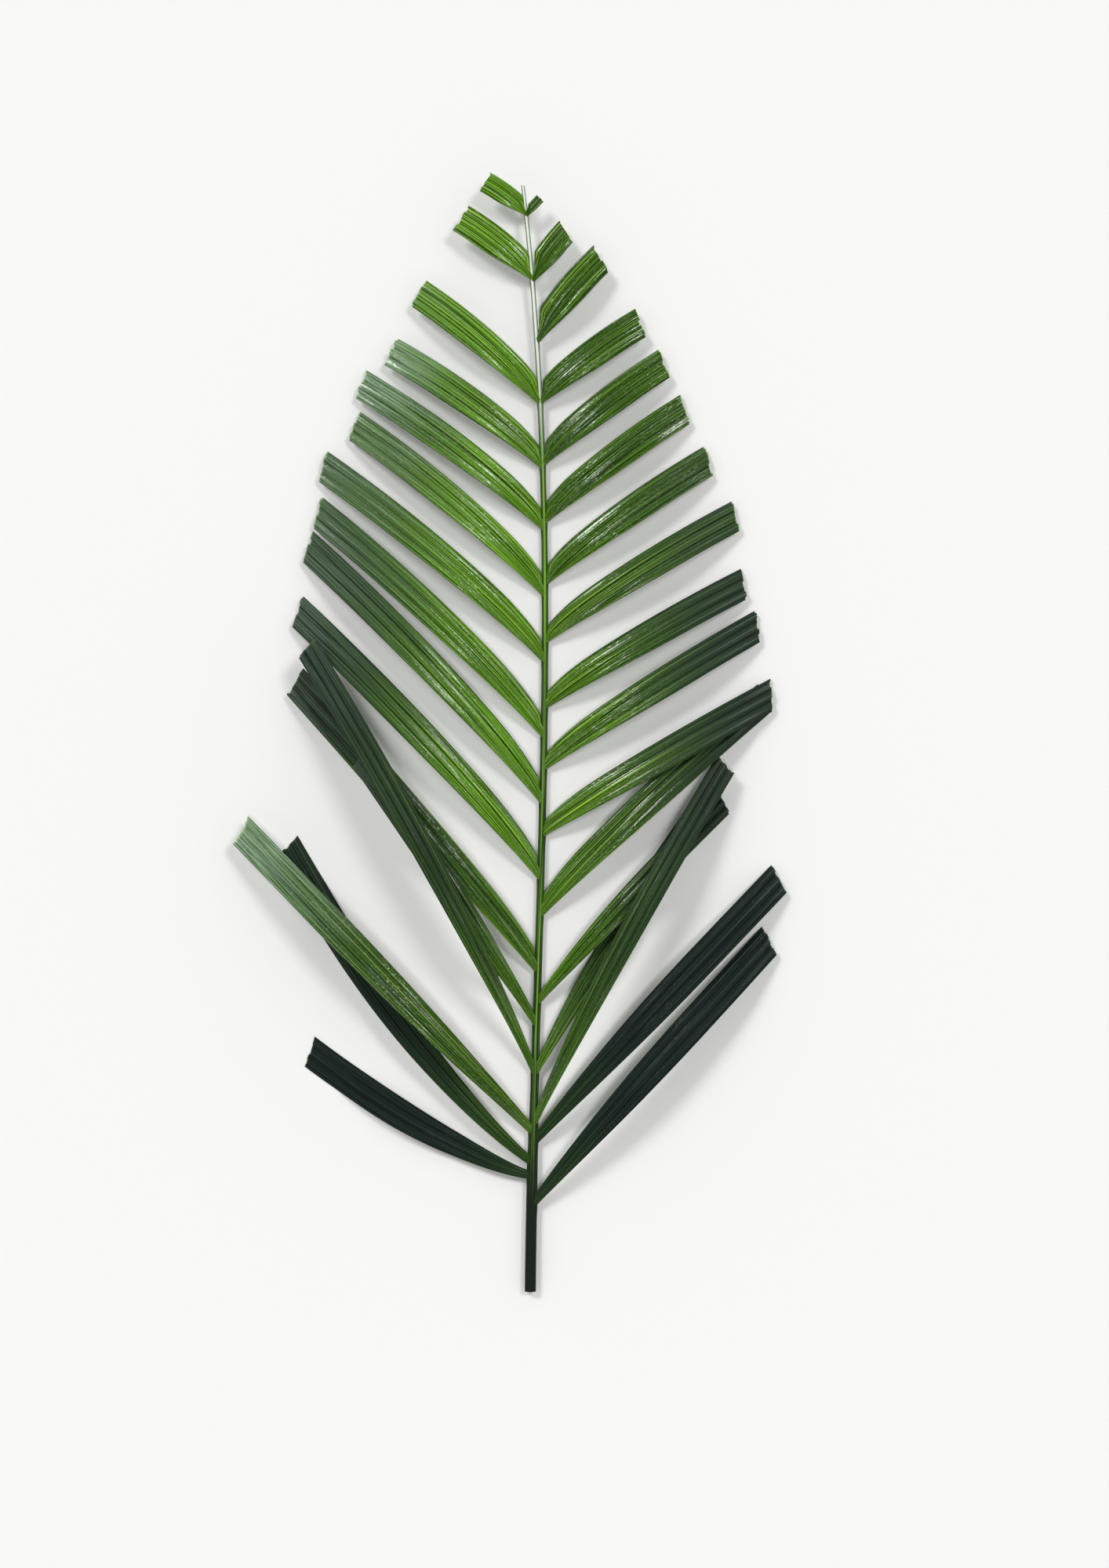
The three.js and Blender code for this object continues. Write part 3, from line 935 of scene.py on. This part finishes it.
def rind_material():
    """The rind of the stalk: hard, smooth and waxy, finely lined along its length, pale at the tip with a
    painted highlight along its face, and blackish towards the cut end."""
    colours = settings().colours
    material, tree, shader = new_material("stalk_rind")
    node = partial(add_node, tree)
    reads = SimpleNamespace(**{key: node("reading", attribute_name=key) for key in RIND_READINGS})
    station = reads.station_m
    around = node("times", reads.around, RIND_GIRTH)
    lines = streaks(node, around, station, 1, *RIND_LINES)
    blotches = streaks(node, around, station, 2, *RIND_BLOTCHES)
    # The rib of the rachis is green between dark flanks, duller and more lined towards the foot.
    hue = node("mix", node("ramp", reads.face, 0.76, 0.96), colours.rind_groove, colours.rind)
    hue = node("mix", node("ramp", station, 420 * MM, 640 * MM, 0.3, 0), hue, colours.rind_groove)
    lined = node("ramp", station, 350 * MM, 560 * MM, 0.9, 0.4)
    lined = node("times", lined, node("ramp", lines, 0.38, 0.56))
    hue = node("mix", lined, hue, colours.rind_groove)
    hue = node("mix", reads.groove, hue, colours.rind_groove)
    # Near the tip the face turns nearly white: a pale rind with a painted highlight on it.
    pale = node("ramp", station, 660 * MM, 800 * MM)
    pale = node("times", pale, node("ramp", reads.face, 0.78, 0.97, 0.1, 1))
    hue = node("mix", pale, hue, colours.pale_tip_and_highlight)
    # The petiole is blackish up to an uneven border, with faint green lines.
    border = node("add", station, node("times", blotches, 60 * MM))
    petiole = node("mix", node("times", lines, 0.3), colours.petiole, colours.rind_groove)
    hue = node("mix", node("ramp", border, 80 * MM, 250 * MM, 1, 0), hue, petiole)
    hue = node("mix", node("times", reads.swelling, 0.5), hue, colours.valley)
    fill(tree, shader, {
        "Base Color": hue,
        "Roughness": node("ramp", lines, 0.3, 0.7, 0.32, 0.48),
        "IOR": LEAF_IOR,
        "Specular IOR Level": RIND_SPECULAR,
        "Normal": node("bump", *RIND_RELIEF, lines),
    })
    return material


def pith_material():
    """The cut end: dry, matt pith with the dark ends of its fibres, about half a millimetre each."""
    colours = settings().colours
    material, tree, shader = new_material("cut_pith")
    node = partial(add_node, tree)
    cells = node("cells", node("place"), 1 / FIBRE_SPACING)
    fill(tree, shader, {
        "Base Color": node("mix", node("ramp", cells, 0.25, 0.4), colours.fibre, colours.pith),
        "Roughness": 0.85,
        "Normal": node("bump", *PITH_RELIEF, cells),
    })
    return material


def floor_material():
    """The floor: matt white paper with a faint grain."""
    pale = settings().colours.floor
    shaded = [0.92 * part for part in pale]
    material, tree, shader = new_material("matt_paper_floor")
    node = partial(add_node, tree)
    grain = node("noise", node("place"), 1 / PAPER_GRAIN)
    fill(tree, shader, {
        "Base Color": node("mix", node("times", grain, 0.04), pale, shaded),
        "Roughness": 0.9,
        "Specular IOR Level": 0.1,
    })
    return material


# Stage

FLOOR_HALF = 40.0
FLOOR_GAP = 0.2 * MM
CAMERA_LENS = 70
SENSOR = 36
LEAF_PLANE = 20 * MM

# Lights: where they shine from, their strength, and how wide they look from the leaf, in degrees.
LIGHTS = {
    "key_light": ((-0.7, 0.75, 1.0), 1.3, 16),
    "top_light": ((0.02, -0.22, 1.0), 0.4, 8),
    "fill_light": ((0.55, 0.45, 1.0), 0.95, 16),
}

# Light from the walls and from the ceiling, and how high, on a unit sphere, one turns to the other.
WALL_LIGHT = 0.85
CEILING_LIGHT = 0.05
CEILING_RISE = (0.42, 0.9)


def make_floor():
    """A wide pale floor just under the leaf."""
    signs = ((-1, -1), (1, -1), (1, 1), (-1, 1))
    mesh = bpy.data.meshes.new("floor")
    mesh.from_pydata([(x * FLOOR_HALF, y * FLOOR_HALF, 0) for x, y in signs], [], [(0, 1, 2, 3)])
    mesh.materials.append(floor_material())
    floor = bpy.data.objects.new("floor", mesh)
    floor.location.z = CAD_BOX[0][2] - FLOOR_GAP
    bpy.context.scene.collection.objects.link(floor)


def make_light(name, direction, strength, spread):
    """A soft, even light from a direction, as wide as a softbox that fills the spread."""
    light = bpy.data.lights.new(name, "SUN")
    light.energy = strength
    light.angle = math.radians(spread)
    lamp = bpy.data.objects.new(name, light)
    lamp.rotation_mode = "QUATERNION"
    lamp.rotation_quaternion = Vector(direction).to_track_quat("Z", "Y")
    bpy.context.scene.collection.objects.link(lamp)


def make_world():
    """Soft light from pale walls all round, and a dim ceiling that keeps the gloss clear from above."""
    world = bpy.data.worlds.new("studio")
    world.use_nodes = True
    node = partial(add_node, world.node_tree)
    height = node("height", node("direction"))
    fill(world.node_tree, world.node_tree.nodes["Background"], {
        "Color": (1, 1, 1),
        "Strength": node("ramp", height, *CEILING_RISE, WALL_LIGHT, CEILING_LIGHT),
    })
    bpy.context.scene.world = world


def make_camera():
    """The camera looks straight down, with the photograph's frame at the height of the leaf."""
    data = bpy.data.cameras.new("camera")
    data.lens = CAMERA_LENS
    data.sensor_width = SENSOR
    camera = bpy.data.objects.new("camera", data)
    wide, high = PHOTO_SIZE
    origin_x, origin_y = ORIGIN_PIXEL
    camera.location = (
        (wide / 2 - origin_x) * PIXEL_WIDTH,
        (origin_y - high / 2) * PIXEL_WIDTH,
        LEAF_PLANE + high * PIXEL_WIDTH * CAMERA_LENS / SENSOR,
    )
    bpy.context.scene.collection.objects.link(camera)
    bpy.context.scene.camera = camera


# Operators and panel

class PALMLEAF_OT_stalk(bpy.types.Operator):
    """Make the stalk, from the cut end of the petiole to the tip of the rachis"""
    bl_idname = "palm_leaf.stalk"
    bl_label = "Stalk"

    def execute(self, context):
        make_stalk()
        return {"FINISHED"}


class PALMLEAF_OT_leaflets_left(bpy.types.Operator):
    """Make the leaflets on the left of the stalk"""
    bl_idname = "palm_leaf.leaflets_left"
    bl_label = "Left leaflets"

    def execute(self, context):
        make_half(LEFT, 0)
        return {"FINISHED"}


class PALMLEAF_OT_leaflets_right(bpy.types.Operator):
    """Make the leaflets on the right of the stalk"""
    bl_idname = "palm_leaf.leaflets_right"
    bl_label = "Right leaflets"

    def execute(self, context):
        make_half(RIGHT, len(leaflets(LEFT)))
        return {"FINISHED"}


class PALMLEAF_OT_stage(bpy.types.Operator):
    """Make the floor, the lights and the camera"""
    bl_idname = "palm_leaf.stage"
    bl_label = "Stage"

    def execute(self, context):
        make_floor()
        make_world()
        for name, light in LIGHTS.items():
            make_light(name, *light)
        make_camera()
        context.scene.view_settings.view_transform = "Standard"
        return {"FINISHED"}


class PALMLEAF_PT_sidebar(bpy.types.Panel):
    """Lists what builds the leaf"""
    bl_idname = "PALMLEAF_PT_sidebar"
    bl_label = "Palm Leaf"
    bl_space_type = "VIEW_3D"
    bl_region_type = "UI"
    bl_category = "Palm Leaf"

    def draw(self, context):
        for operator in OPERATORS:
            self.layout.operator(operator.bl_idname)
        for group in (settings().stalk, settings().leaflet, settings().colours):
            box = self.layout.box()
            for name in group.__annotations__:
                box.prop(group, name)


OPERATORS = (PALMLEAF_OT_stage, PALMLEAF_OT_stalk, PALMLEAF_OT_leaflets_left, PALMLEAF_OT_leaflets_right)
CLASSES = (StalkSettings, LeafletSettings, ColourSettings, PalmLeafSettings, *OPERATORS, PALMLEAF_PT_sidebar)


def register():
    """Adds the classes, and the leaf's settings to every scene."""
    for item in CLASSES:
        bpy.utils.register_class(item)
    bpy.types.Scene.palm_leaf = PointerProperty(type=PalmLeafSettings)


def unregister():
    """Takes the settings and the classes away again."""
    del bpy.types.Scene.palm_leaf
    for item in reversed(CLASSES):
        bpy.utils.unregister_class(item)


def main():
    """Builds the stage and the leaf."""
    register()
    bpy.ops.palm_leaf.stage()
    bpy.ops.palm_leaf.stalk()
    bpy.ops.palm_leaf.leaflets_left()
    bpy.ops.palm_leaf.leaflets_right()


if __name__ == "__main__":
    main()
